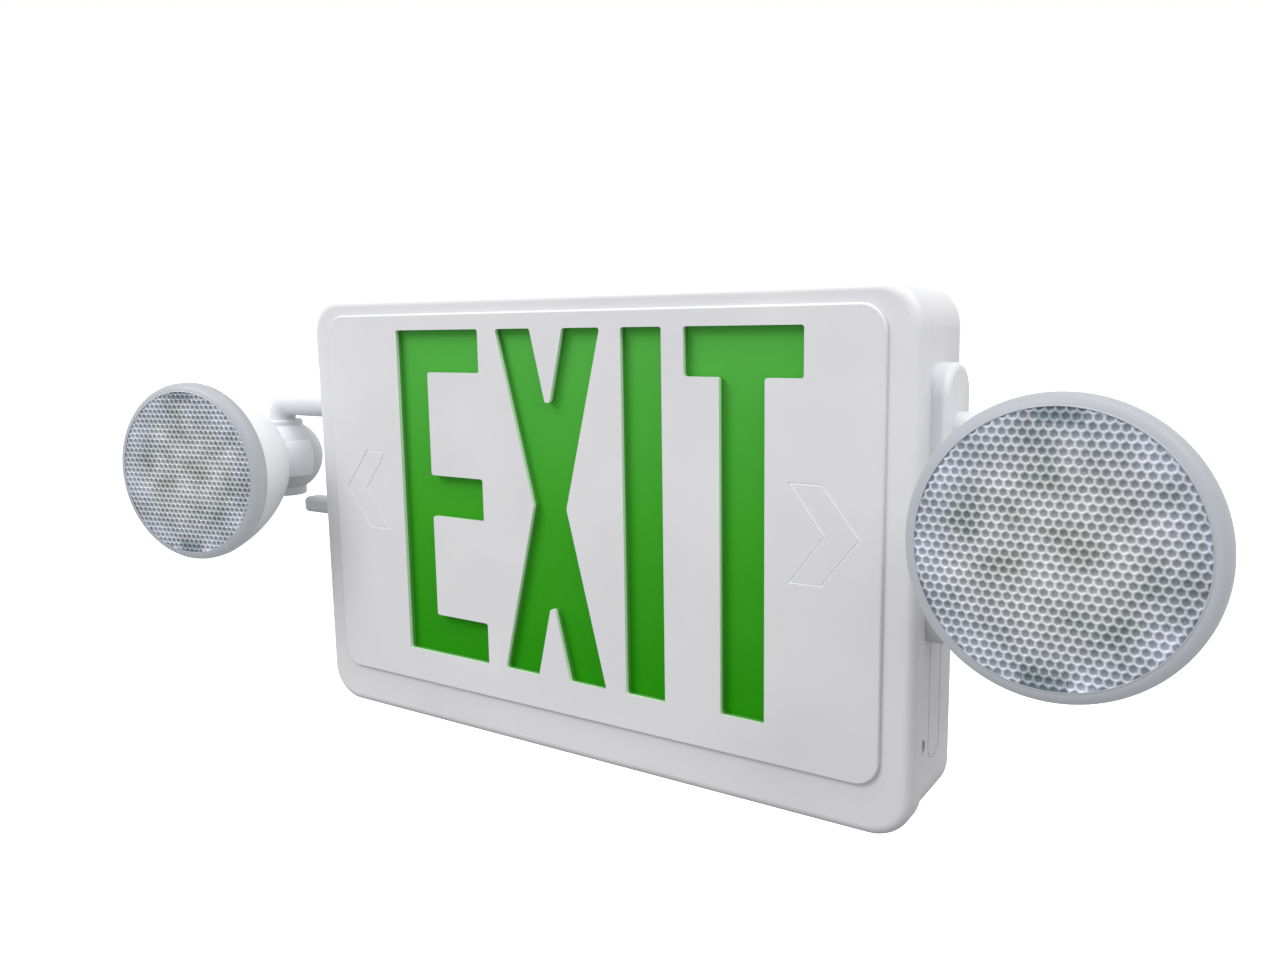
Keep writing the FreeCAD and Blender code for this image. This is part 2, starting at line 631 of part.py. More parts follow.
def test_switch():
    """The switch's case, with a well for its plunger."""
    body = new_body("test_switch")
    block(body, "AdditiveBox", "switch_case", "switch_depth", "switch_side", "switch_side",
          SWITCH_FACE + " - switch_depth / 2", "-side_hole_out", "side_hole_up")
    well = "(plunger_deep + button_travel + button_play)"
    primitive(body, "SubtractiveCylinder", "switch_well",
              {"Radius": "plunger_radius + plunger_play", "Height": well + " + switch_depth"},
              "%s - %s" % (SWITCH_FACE, well), "-side_hole_out", "side_hole_up", ALONG_X)
    return body


def switch_plunger():
    """The plunger between the button's stem and the inside of the switch."""
    body = new_body("switch_plunger")
    stem_end = "(%s - housing_wall - button_play - collar_thick - stem_length)" % HOUSING_HALF
    primitive(body, "AdditiveCylinder", "plunger",
              {"Radius": "plunger_radius", "Height": "%s - %s + plunger_deep" % (stem_end, SWITCH_FACE)},
              SWITCH_FACE + " - plunger_deep", "-side_hole_out", "side_hole_up", ALONG_X)
    return body


def pilot_lamp():
    """A small round lens that stands out of the underside, with a flange inside the wall."""
    body = new_body("pilot_lamp")
    outside = "-(cover_height / 2 - housing_inset)"
    primitive(body, "AdditiveCylinder", "pilot_stem",
              {"Radius": "pilot_radius", "Height": "housing_wall + pilot_proud"},
              "pilot_right", "-pilot_out", outside + " - pilot_proud")
    low = number(outside + " - pilot_proud")
    round_edges(body, "pilot_dome", "pilot_round", lambda edge: abs(edge.BoundBox.ZMax - low) < 1e-4)
    primitive(body, "AdditiveCylinder", "pilot_flange",
              {"Radius": "pilot_flange", "Height": "pilot_body"},
              "pilot_right", "-pilot_out", outside + " + housing_wall")
    return body


# ---------------------------------------------------------------- brackets and arms

SIDES = ((-1, "left"), (1, "right"))


def mount_levels():
    return [(-1, "bracket_up - mount_spread"), (1, "bracket_up + mount_spread")]


def bracket(side, name):
    """A side bracket with round ends and a finger under the ball."""
    body = new_body("bracket_" + name)
    plate = new_sketch(body, "plate_" + name, "YZ_Plane", "%d * %s" % (side, HOUSING_HALF))
    rounded_rectangle(plate, "bracket_width", "bracket_length", "bracket_corner", "-bracket_out",
                      "bracket_up")
    pad(body, plate, "bracket_thick", backwards=(side < 0))
    face = number("%d * (%s + bracket_thick)" % (side, HOUSING_HALF))

    def on_face(edge):
        box = edge.BoundBox
        return abs(box.XMin - face) < 1e-4 and abs(box.XMax - face) < 1e-4
    round_edges(body, "plate_edge_" + name, "bracket_edge", on_face)
    middle = "%d * (%s + bracket_thick / 2 + finger_reach / 2)" % (side, HOUSING_HALF)
    block(body, "AdditiveBox", "finger_" + name, "finger_reach + bracket_thick", "finger_width",
          "finger_height", middle, "-bracket_out", "finger_up")
    tip = number("%d * (%s + bracket_thick + finger_reach)" % (side, HOUSING_HALF))

    def finger_edge(edge):
        box = edge.BoundBox
        reaches = abs(box.XMin - tip) < 1e-4 or abs(box.XMax - tip) < 1e-4
        long_edge = box.XMax - box.XMin > number("finger_reach") / 2
        return reaches and (long_edge or abs(box.XMax - box.XMin) < 1e-4)
    round_edges(body, "finger_edge_" + name, "finger_round", finger_edge)
    primitive(body, "SubtractiveCylinder", "arm_way_" + name,
              {"Radius": "arm_radius + seat_play", "Height": "3 * bracket_thick"},
              "%d * %s - 3 * bracket_thick / 2" % (side, HOUSING_HALF), "-bracket_out", "arm_up",
              ALONG_X)
    for level, up in mount_levels():
        primitive(body, "SubtractiveCylinder", "mount_way_%s_%s" % (name, "bt"[level > 0]),
                  {"Radius": "mount_radius + seat_play", "Height": "2 * mount_deep + 2 * seat_play"},
                  "%d * %s - mount_deep - seat_play" % (side, HOUSING_HALF), "-bracket_out", up,
                  ALONG_X)
    return body


def bracket_screws():
    """Two screws a side, their heads inside the housing and their ends in the bracket."""
    body = many("bracket_screws")
    for side, name in SIDES:
        inner = "(%s - housing_wall)" % HOUSING_HALF
        for level, up in mount_levels():
            spot = "%s_%s" % (name, "bt"[level > 0])
            primitive(body, "AdditiveCylinder", "mount_head_" + spot,
                      {"Radius": "mount_head", "Height": "mount_head_thick"},
                      "%d * (%s - mount_head_thick / 2) - mount_head_thick / 2" % (side, inner),
                      "-bracket_out", up, ALONG_X)
            shank = "(housing_wall + mount_deep + mount_head_thick / 2)"
            primitive(body, "AdditiveCylinder", "mount_shank_" + spot,
                      {"Radius": "mount_radius", "Height": shank},
                      "%d * (%s - mount_head_thick / 2 + %s / 2) - %s / 2" % (side, inner, shank, shank),
                      "-bracket_out", up, ALONG_X)
    return body


def at_ball(body, side, turn=0, tip=0):
    """Carry a body drawn about the centre of its ball to that centre, turned and tipped."""
    facing = FreeCAD.Rotation(Vector(0, 0, 1), turn) * FreeCAD.Rotation(Vector(1, 0, 0), -tip)
    body.Placement = FreeCAD.Placement(Vector(0, 0, 0), facing)
    bind(body, "Placement.Base.x", "%d * swivel_right" % side)
    bind(body, "Placement.Base.y", "-bracket_out")
    bind(body, "Placement.Base.z", "ball_up")
    return body


def arm(side, name):
    """A bent tube from inside the housing out through the bracket and down into the ball."""
    body = new_body("arm_" + name)
    start = "(%d * (%s - housing_wall - arm_tail - swivel_right))" % (side, HOUSING_HALF)
    high = "(arm_up - ball_up)"
    ring = new_sketch(body, "arm_ring_" + name, "YZ_Plane", start)
    circle(ring, "arm_radius", "0", high)
    circle(ring, "arm_bore", "0", high)
    path = new_sketch(body, "arm_path_" + name)
    bend = "arm_bend"
    begin = Vector(number(start), number(high), 0)
    corner = Vector(-side * number(bend), number(high), 0)
    turned = Vector(0, number(high) - number(bend), 0)
    end = Vector(0, number("arm_end"), 0)
    centre = Vector(corner.x, turned.y, 0)
    path.addGeometry(Part.LineSegment(begin, corner), False)
    ring_path = Part.Circle(centre, Vector(0, 0, 1), number(bend))
    quarter = (0, 90) if side > 0 else (90, 180)
    path.addGeometry(Part.ArcOfCircle(ring_path, math.radians(quarter[0]), math.radians(quarter[1])),
                     False)
    path.addGeometry(Part.LineSegment(turned, end), False)
    top_end, low_end = (2, 1) if side > 0 else (1, 2)
    path.addConstraint(Sketcher.Constraint("Tangent", 0, 2, 1, top_end))
    path.addConstraint(Sketcher.Constraint("Tangent", 1, low_end, 2, 1))
    path.addConstraint(Sketcher.Constraint("Horizontal", 0))
    path.addConstraint(Sketcher.Constraint("Vertical", 2))
    held = path.addConstraint(Sketcher.Constraint("Radius", 1, number(bend)))
    path.setExpression("Constraints[%d]" % held, formula(bend))
    fix(path, "DistanceX", 0, 1, start)
    fix(path, "DistanceY", 0, 1, high)
    fix(path, "DistanceX", 2, 2, "0")
    fix(path, "DistanceY", 2, 2, "arm_end")
    pipe = body.newObject("PartDesign::AdditivePipe", "arm_pipe_" + name)
    pipe.Profile = ring
    pipe.Spine = path
    groove = new_sketch(body, "clip_groove_" + name)
    low, top = "clip_low - seat_play", "clip_low + clip_thick + seat_play"
    polygon(groove, [("clip_inner - seat_play", low), ("2 * arm_radius", low), ("2 * arm_radius", top),
                     ("clip_inner - seat_play", top)])
    revolve(body, groove, cut=True)
    return at_ball(body, side)


def arm_nut(side, name):
    """A hexagon nut on the arm's tail, against the inside of the housing wall."""
    body = new_body("arm_nut_" + name)
    inner = "(%s - housing_wall)" % HOUSING_HALF
    face = new_sketch(body, "arm_nut_face_" + name, "YZ_Plane", "%d * (%s - arm_nut_thick)" % (side, inner))
    hexagon(face, "nut_corner", "-bracket_out", "arm_up")
    circle(face, "arm_radius + seat_play", "-bracket_out", "arm_up")
    pad(body, face, "arm_nut_thick", backwards=(side < 0))
    return body


def hexagon(sketch, corner, x="0", y="0"):
    polygon(sketch, [("%s + (%s) * cos(%d deg)" % (x, corner, angle),
                      "%s + (%s) * sin(%d deg)" % (y, corner, angle)) for angle in range(0, 360, 60)])


def arm_clip(side, name, turn):
    """The open ring in the arm's groove that keeps the ball on the arm."""
    body = new_body("arm_clip_" + name)
    ring = new_sketch(body, "clip_ring_" + name, "XY_Plane", "clip_low")
    circle(ring, "clip_radius")
    circle(ring, "clip_inner")
    pad(body, ring, "clip_thick")
    mouth = new_sketch(body, "clip_mouth_" + name, "XY_Plane", "clip_low")
    reach = "2 * clip_radius"
    half = "clip_mouth / 2 * 1 deg"
    polygon(mouth, [("0", "0"), ("%s * sin(%s)" % (reach, half), "%s * cos(%s)" % (reach, half)),
                    ("-(%s) * sin(%s)" % (reach, half), "%s * cos(%s)" % (reach, half))])
    pocket(body, mouth, "clip_thick", backwards=True)
    return at_ball(body, side, turn)


# ---------------------------------------------------------------- knuckle balls

def knuckle_ball(side, name, turn):
    """A hollow ball with a boss above and below, a bore for the arm and a slot in front."""
    body = new_body("knuckle_ball_" + name)
    primitive(body, "AdditiveSphere", "ball_" + name, {"Radius": "ball_radius"})
    primitive(body, "AdditiveCylinder", "boss_" + name,
              {"Radius": "boss_radius", "Height": "boss_top + boss_bottom"}, z="-boss_bottom")
    top, bottom = number("boss_top"), number("boss_bottom")

    def boss_end(edge):
        box = edge.BoundBox
        flat = abs(box.ZMax - box.ZMin) < 1e-4
        return flat and (abs(box.ZMax - top) < 1e-4 or abs(box.ZMax + bottom) < 1e-4)
    round_edges(body, "boss_edge_" + name, "boss_round", boss_end)
    primitive(body, "SubtractiveSphere", "ball_hollow_" + name, {"Radius": "ball_radius - ball_wall"})
    primitive(body, "AdditiveCylinder", "sleeve_" + name,
              {"Radius": "sleeve_radius", "Height": "boss_top - boss_round - sleeve_end"}, z="sleeve_end")
    primitive(body, "SubtractiveCylinder", "arm_bore_" + name,
              {"Radius": "arm_radius + swivel_gap", "Height": "boss_top"}, z="sleeve_end - ball_wall")
    primitive(body, "SubtractiveCylinder", "plug_hole_" + name,
              {"Radius": "plug_radius", "Height": "boss_bottom"}, z="-boss_bottom - ball_wall")
    slot = new_sketch(body, "ball_slot_" + name, offset="ball_radius + ball_gap")
    stadium(slot, "2 * slot_half", "-slot_reach", "slot_reach", "0")
    pocket(body, slot, "ball_radius / 2", backwards=False)
    return at_ball(body, side, turn)


def knuckle_plug(side, name, turn):
    """The plug in the bottom boss, with a shallow rim round it."""
    body = new_body("knuckle_plug_" + name)
    primitive(body, "AdditiveCylinder", "plug_" + name,
              {"Radius": "plug_radius - seat_play", "Height": "plug_thick"}, z="-boss_bottom + plug_rim")
    return at_ball(body, side, turn)


# ---------------------------------------------------------------- lamp heads

def along_axis(body, kind, name, radius, start, end):
    """A cylinder on the lamp's own axis, between two distances from the ball's centre."""
    return primitive(body, kind, name, {"Radius": radius, "Height": "(%s) - (%s)" % (end, start)},
                     y="-(%s)" % start, turn=ALONG_OUT)


def curve_centre(start, end, radius):
    """The middle of a circle through two points, on the side nearer the lamp's axis."""
    middle = (start + end) * 0.5
    half = (end - start) * 0.5
    across = Vector(half.y, -half.x, 0).normalize()
    if across.x > 0:
        across = -across
    return middle + across * math.sqrt(radius ** 2 - half.Length ** 2)


def curve_between(start, end, radius):
    """The arc of that circle, anticlockwise from the point nearer the front to the other."""
    centre = curve_centre(start, end, radius)
    angles = sorted(math.atan2(point.y - centre.y, point.x - centre.x) for point in (start, end))
    return Part.ArcOfCircle(Part.Circle(centre, Vector(0, 0, 1), radius), angles[0], angles[1])


def bowl_inside(out):
    """The radius of the bowl's inner wall at a distance from the ball's centre."""
    hip = Vector(number("hip_radius - bowl_wall"), -number("hip_out + bowl_wall"), 0)
    rim = Vector(number("rim_radius - bowl_wall"), -number("rim_out"), 0)
    radius = number("bowl_curve - bowl_wall")
    centre = curve_centre(hip, rim, radius)
    return centre.x + math.sqrt(radius ** 2 - (number(out) + centre.y) ** 2)


def lamp_bowl(side, name, turn, tip):
    """A bowl on a saddle: the saddle is part of a sphere that slides on the ball."""
    body = new_body("lamp_bowl_" + name)
    along_axis(body, "AdditiveCylinder", "neck_" + name, "neck_radius", "neck_start",
               "back_out + bowl_wall / 2")
    primitive(body, "SubtractiveSphere", "boss_room_" + name,
              {"Radius": "sqrt(boss_radius ^ 2 + boss_bottom ^ 2) + boss_clear"})
    outer = "(ball_radius + ball_gap + cup_wall)"
    primitive(body, "AdditiveSphere", "cup_" + name,
              {"Radius": outer, "Angle1": "-cup_band", "Angle2": "cup_band"})
    band = "(%s * sin(cup_band * 1 deg))" % outer
    block(body, "AdditiveBox", "cup_bridge_" + name, "2 * (neck_radius - bridge_inset)",
          "back_out - neck_start + bridge_reach", "2 * %s" % band,
          y="-(back_out + neck_start - bridge_reach) / 2")
    block(body, "SubtractiveBox", "cup_back_" + name, "3 * ball_radius", "2 * ball_radius",
          "3 * ball_radius", y="ball_radius - cup_cover")
    primitive(body, "SubtractiveSphere", "cup_inside_" + name, {"Radius": "ball_radius + ball_gap"})
    profile = new_sketch(body, "bowl_profile_" + name, "XY_Plane")
    wall = "bowl_wall"
    corners = [
        ("hip_radius - " + wall, "-hip_out - " + wall),
        ("back_radius - %s / 2" % wall, "-back_out - " + wall),
        ("0", "-back_out - " + wall), ("0", "-back_out"), ("back_radius", "-back_out"),
        ("hip_radius", "-hip_out")]
    points = [Vector(number(x), number(y), 0) for x, y in corners]
    for start, end in zip(points, points[1:]):
        profile.addGeometry(Part.LineSegment(start, end), False)
    rim = Vector(number("rim_radius"), -number("rim_out"), 0)
    inner_rim = Vector(number("rim_radius - " + wall), -number("rim_out"), 0)
    outside = curve_between(points[-1], rim, number("bowl_curve"))
    inside = curve_between(points[0], inner_rim, number("bowl_curve - " + wall))
    profile.addGeometry(outside, False)
    profile.addGeometry(Part.LineSegment(rim, inner_rim), False)
    profile.addGeometry(inside, False)
    ends = [(index, 2, index + 1, 1) for index in range(len(points) - 2)]
    ends += [(4, 2, 5, 2), (5, 1, 6, 1), (6, 2, 7, 1), (7, 2, 0, 1)]
    for one, one_end, other, other_end in ends:
        profile.addConstraint(Sketcher.Constraint("Coincident", one, one_end, other, other_end))
    for index, (x, y) in enumerate(corners[:-1]):
        fix(profile, "DistanceX", index, 1, x)
        fix(profile, "DistanceY", index, 1, y)
    fix(profile, "DistanceX", 4, 2, corners[-1][0])
    fix(profile, "DistanceY", 4, 2, corners[-1][1])
    fix(profile, "DistanceX", 6, 1, "rim_radius")
    fix(profile, "DistanceY", 6, 1, "-rim_out")
    fix(profile, "DistanceX", 6, 2, "rim_radius - " + wall)
    fix(profile, "DistanceY", 6, 2, "-rim_out")
    for arc, radius in ((5, "bowl_curve"), (7, "bowl_curve - " + wall)):
        held = profile.addConstraint(Sketcher.Constraint("Radius", arc, number(radius)))
        profile.setExpression("Constraints[%d]" % held, formula(radius))
    revolve(body, profile)
    levels = [(number("hip_out"), number("hip_radius")), (number("back_out"), number("back_radius"))]

    def outline(edge):
        box = edge.BoundBox
        flat = abs(box.YMax - box.YMin) < 1e-4
        return flat and any(abs(box.YMax + level) < 1e-4 and abs(box.XMax - size) < 1e-2
                            for level, size in levels)
    round_edges(body, "bowl_edge_" + name, "bowl_round", outline)
    along_axis(body, "SubtractiveCylinder", "screw_way_" + name, "screw_radius + seat_play",
               "ball_radius / 2", "back_out + 2 * bowl_wall")
    return at_ball(body, side, turn, tip)


def lamp_lens(side, name, turn, tip):
    """The clear cover: a flat face with a rounded shoulder and a spigot inside the rim."""
    body = new_body("lamp_lens_" + name)
    front = "rim_out + face_rise"
    along_axis(body, "AdditiveCylinder", "lens_disc_" + name, "rim_radius", "rim_out", front)
    level = number(front)
    round_edges(body, "lens_shoulder_" + name, "face_round",
                lambda edge: abs(edge.BoundBox.YMax + level) < 1e-4)
    spigot = "(%.4f - spigot_gap)" % bowl_inside("rim_out - spigot_deep")
    along_axis(body, "AdditiveCylinder", "lens_spigot_" + name, spigot, "rim_out - spigot_deep",
               "rim_out + lens_wall")
    along_axis(body, "SubtractiveCylinder", "lens_inside_" + name, spigot + " - spigot_wall",
               "rim_out - 2 * spigot_deep", front + " - lens_wall")
    return at_ball(body, side, turn, tip)


def ring_of(body, originals, name):
    """Repeat features evenly round the lamp's axis."""
    pattern = body.newObject("PartDesign::PolarPattern", name)
    pattern.Originals = originals
    pattern.Axis = (plane(body, "Y_Axis"), [""])
    pattern.Angle = 360
    bind(pattern, "Occurrences", "ring_count")
    body.Tip = pattern


def lamp_reflector(side, name, turn, tip):
    """A round block with a cone-shaped cup for each light source."""
    body = new_body("lamp_reflector_" + name)
    start = "(lamp_board_out + lamp_board_thick + reflector_gap)"
    edge = "(%.4f - board_gap)" % bowl_inside(start)
    along_axis(body, "AdditiveCylinder", "reflector_block_" + name, edge, start,
               start + " + reflector_deep")
    for level in (-1, 1):
        block(body, "SubtractiveBox", "notch_%s_%s" % ("bt"[level > 0], name), "reflector_notch",
              "3 * reflector_deep", "notch_deep", "0", "-" + start,
              "%d * (%s - notch_deep / 3)" % (level, edge))
    cups = []
    for spot, x in (("middle", "0"), ("ring", "cup_ring")):
        cups.append(primitive(body, "SubtractiveCone", "cup_%s_%s" % (spot, name),
                              {"Radius1": "cup_foot", "Radius2": "cup_top", "Height": "reflector_deep"},
                              x, "-" + start, "0", ALONG_OUT))
    ring_of(body, cups[1:], "cup_ring_" + name)
    return at_ball(body, side, turn, tip)


def lamp_board(side, name, turn, tip):
    """The round circuit board, seated where the bowl narrows to its size."""
    body = new_body("lamp_board_" + name)
    inside = "(%.4f - board_gap)" % bowl_inside("lamp_board_out")
    along_axis(body, "AdditiveCylinder", "round_board_" + name, inside,
               "lamp_board_out", "lamp_board_out + lamp_board_thick")
    return at_ball(body, side, turn, tip)


def lamp_leds(side, name, turn, tip):
    body = many("lamp_leds_" + name)
    face = "(lamp_board_out + lamp_board_thick)"
    chips = [block(body, "AdditiveBox", "chip_%s_%s" % (spot, name), "lamp_led", "lamp_led_thick",
                   "lamp_led", x, "-(%s + lamp_led_thick / 2)" % face)
             for spot, x in (("middle", "0"), ("ring", "cup_ring"))]
    ring_of(body, chips[1:], "chip_ring_" + name)
    return at_ball(body, side, turn, tip)


def clamp_screw(side, name, turn, tip):
    """A slotted screw from inside the bowl, through the saddle and the ball's slot."""
    body = new_body("clamp_screw_" + name)
    head = "(back_out + bowl_wall)"
    along_axis(body, "AdditiveCylinder", "screw_shank_" + name, "screw_radius", "screw_end",
               head + " + screw_head_thick / 2")
    along_axis(body, "AdditiveCylinder", "screw_head_" + name, "screw_head", head,
               head + " + screw_head_thick")
    block(body, "SubtractiveBox", "screw_slot_" + name, "3 * screw_head", "screw_head_thick",
          "screw_slot", y="-(%s + screw_head_thick)" % head)
    return at_ball(body, side, turn, tip)


def clamp_washer(side, name, turn, tip):
    """A washer inside the ball, its face rounded to the ball's hollow."""
    body = new_body("clamp_washer_" + name)
    radius = "(ball_radius - ball_wall - ball_gap)"
    half = "washer_half * 1 deg"
    along_axis(body, "AdditiveCylinder", "washer_body_" + name, "%s * sin(%s)" % (radius, half),
               "washer_seat", "%s * cos(%s)" % (radius, half))
    primitive(body, "AdditiveSphere", "washer_face_" + name,
              {"Radius": radius, "Angle1": "90 - washer_half", "Angle2": "90"}, turn=ALONG_OUT)
    along_axis(body, "SubtractiveCylinder", "washer_way_" + name, "screw_radius + seat_play",
               "washer_seat - 1", radius + " + 1")
    return at_ball(body, side, turn, tip)


def clamp_nut(side, name, turn, tip):
    body = new_body("clamp_nut_" + name)
    face = new_sketch(body, "nut_face_" + name, offset="washer_seat - hex_thick")
    hexagon(face, "hex_corner")
    circle(face, "screw_radius + seat_play")
    pad(body, face, "hex_thick")
    return at_ball(body, side, turn, tip)


# ---------------------------------------------------------------- the whole light

pieces = [
    rear_housing(), front_cover(), green_panel(), light_strip("upper", 1), light_strip("lower", -1),
    sign_leds(), charger_board(), transformer(), relay(), terminal_block(), capacitors(),
    battery_pack(), battery_strap(), test_button(), test_switch(), switch_plunger(), pilot_lamp(),
    bracket_screws(),
]
for side, name in SIDES:
    turn = number("left_turn") if side < 0 else -number("right_turn")
    tip = number(name + "_tip")
    pieces += [bracket(side, name), arm(side, name), arm_nut(side, name)]
    pieces += [make(side, name, turn) for make in (arm_clip, knuckle_ball, knuckle_plug)]
    pieces += [make(side, name, turn, tip) for make in (
        lamp_bowl, lamp_lens, lamp_reflector, lamp_board, lamp_leds, clamp_screw, clamp_washer, clamp_nut)]
doc.recompute()

for item in doc.Objects:
    if any(mark in ("Invalid", "Error") for mark in item.State):
        raise RuntimeError("%s did not build: %s" % (item.Name, item.State))
for piece in pieces:
    if piece.Shape.isNull() or not piece.Shape.isValid() or piece.Shape.Volume <= 0:
        raise RuntimeError(piece.Label + " has no valid solid")

os.makedirs("parts", exist_ok=True)
for piece in pieces:
    piece.Shape.exportStep("parts/%s.step" % piece.Label)
    box = piece.Shape.BoundBox
    print("%-20s solids %2d volume %10.1f  x %7.1f %7.1f  y %6.1f %6.1f  z %6.1f %6.1f" % (
        piece.Label, len(piece.Shape.Solids), piece.Shape.Volume, box.XMin, box.XMax, box.YMin, box.YMax,
        box.ZMin, box.ZMax))
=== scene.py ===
import json
import math

import bmesh
import bpy
from mathutils import Matrix, Vector


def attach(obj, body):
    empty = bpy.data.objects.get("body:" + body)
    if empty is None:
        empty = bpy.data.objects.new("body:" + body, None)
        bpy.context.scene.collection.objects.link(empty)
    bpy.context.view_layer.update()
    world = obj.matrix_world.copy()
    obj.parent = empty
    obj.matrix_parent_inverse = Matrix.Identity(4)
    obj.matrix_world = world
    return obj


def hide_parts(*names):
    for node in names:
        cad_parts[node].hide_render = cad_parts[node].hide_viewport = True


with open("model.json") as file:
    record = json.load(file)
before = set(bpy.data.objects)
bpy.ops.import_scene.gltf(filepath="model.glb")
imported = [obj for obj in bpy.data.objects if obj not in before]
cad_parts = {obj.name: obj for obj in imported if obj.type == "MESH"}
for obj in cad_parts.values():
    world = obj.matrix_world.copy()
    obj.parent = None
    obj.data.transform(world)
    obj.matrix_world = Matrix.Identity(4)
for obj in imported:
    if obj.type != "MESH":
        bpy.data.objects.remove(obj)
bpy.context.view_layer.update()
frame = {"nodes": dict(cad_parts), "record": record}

nodes = frame["nodes"]
record = frame["record"]
SIDES = ("left", "right")

# Lengths are in metres in the row frame: X to the right, Y into the wall, Z up.
# the cover: where the word stands, how far out the front is, and from what depth its letter walls
# are painted the sheet's dark green (painted shade and green glow)
WORD_RIGHT, WORD_UP, WORD_HALF, LETTER_HALF = 0.0082, 0.0099, 0.1060, 0.0772
FACE_DEPTH, GREEN_WALL_DEPTH = 0.0478, 0.0463
CHEVRON_HALF, CHEVRON_START, CHEVRON_END = 0.0205, 0.1045, 0.1345
WALL_FACING = 0.5
# the green sheet: heights between which its painted shading deepens its colour towards the foot, and
# the share of clouding
DEEP_BELOW, PALE_ABOVE, GREEN_CLOUDS = -0.07, 0.085, 0.12
# a lens, from the lamp's own axis: where it turns lilac, and where a painted view of the shaded
# board behind it lies, at top and foot
LILAC_FROM, LILAC_TO = 0.018, 0.040
BOARD_SHADE_HALF, BOARD_SHADE_FROM = 0.0065, 0.0352
# how deep the fine grain goes, and where a clouding colour is fully dark and fully light
GRAIN_DEPTH, CLOUD_DARK, CLOUD_LIGHT = 0.0002, 0.3, 0.7

# ---------------------------------------------------------------- shader helpers


def new_material(name):
    made = bpy.data.materials.new(name)
    made.use_nodes = True
    return made, made.node_tree, principled(made)


def principled(material):
    return material.node_tree.nodes["Principled BSDF"]


def set_values(node, values):
    for name, value in values.items():
        node.inputs[name].default_value = value


def object_space(tree):
    return tree.nodes.new("ShaderNodeTexCoord").outputs["Object"]


def separate(tree, source):
    made = tree.nodes.new("ShaderNodeSeparateXYZ")
    tree.links.new(source, made.inputs["Vector"])
    return made.outputs


def noise(tree, space, scale, detail):
    made = tree.nodes.new("ShaderNodeTexNoise")
    set_values(made, {"Scale": scale, "Detail": detail})
    tree.links.new(space, made.inputs["Vector"])
    return made.outputs["Fac"]


def ramp(tree, source, stops):
    made = tree.nodes.new("ShaderNodeValToRGB")
    points = made.color_ramp.elements
    while len(points) < len(stops):
        points.new(0.5)
    for point, (place, colour) in zip(points, stops):
        point.position = place
        point.color = (*colour, 1.0)
    tree.links.new(source, made.inputs["Fac"])
    return made.outputs["Color"]


def map_range(tree, source, ends):
    made = tree.nodes.new("ShaderNodeMapRange")
    set_values(made, ends)
    tree.links.new(source, made.inputs["Value"])
    return made.outputs["Result"]


def math_node(tree, operation, first, second=0.0):
    made = tree.nodes.new("ShaderNodeMath")
    made.operation = operation
    for socket, value in zip(made.inputs, (first, second)):
        if isinstance(value, (int, float)):
            socket.default_value = value
        else:
            tree.links.new(value, socket)
    return made.outputs["Value"]


def product(tree, first, *others):
    for other in others:
        first = math_node(tree, "MULTIPLY", first, other)
    return first


def away_from(tree, value, middle):
    return math_node(tree, "ABSOLUTE", math_node(tree, "SUBTRACT", value, middle))


def bump(tree, shader, source, strength):
    made = tree.nodes.new("ShaderNodeBump")
    set_values(made, {"Strength": strength, "Distance": GRAIN_DEPTH})
    tree.links.new(source, made.inputs["Height"])
    tree.links.new(made.outputs["Normal"], shader.inputs["Normal"])


def lay_tints(tree, shader, layers):
    """Lay tints over the base colour in turn, each where its mask is set."""
    colour = shader.inputs["Base Color"].links[0].from_socket
    for mask, share, tint, blend in layers:
        mix = tree.nodes.new("ShaderNodeMix")
        mix.data_type = "RGBA"
        mix.blend_type = blend
        tree.links.new(product(tree, mask, share), mix.inputs["Factor"])
        tree.links.new(colour, mix.inputs["A"])
        mix.inputs["B"].default_value = (*tint, 1.0)
        colour = mix.outputs["Result"]
    tree.links.new(colour, shader.inputs["Base Color"])


# ---------------------------------------------------------------- materials


def plastic(name, dark, light, roughness, grain=900.0, relief=0.08, cloud=18.0):
    """Moulded plastic: faint clouding in the colour, a fine grain in the surface."""
    made, tree, shader = new_material(name)
    space = object_space(tree)
    clouds = noise(tree, space, cloud, 4.0)
    tint = ramp(tree, clouds, ((CLOUD_DARK, dark), (CLOUD_LIGHT, light)))
    tree.links.new(tint, shader.inputs["Base Color"])
    bump(tree, shader, noise(tree, space, grain, 2.0), relief)
    set_values(shader, {"Roughness": roughness})
    return made


def metal(name, dark, light, roughness, grain=600.0):
    made = plastic(name, dark, light, roughness, grain, 0.15, 60.0)
    set_values(principled(made), {"Metallic": 1.0})
    return made


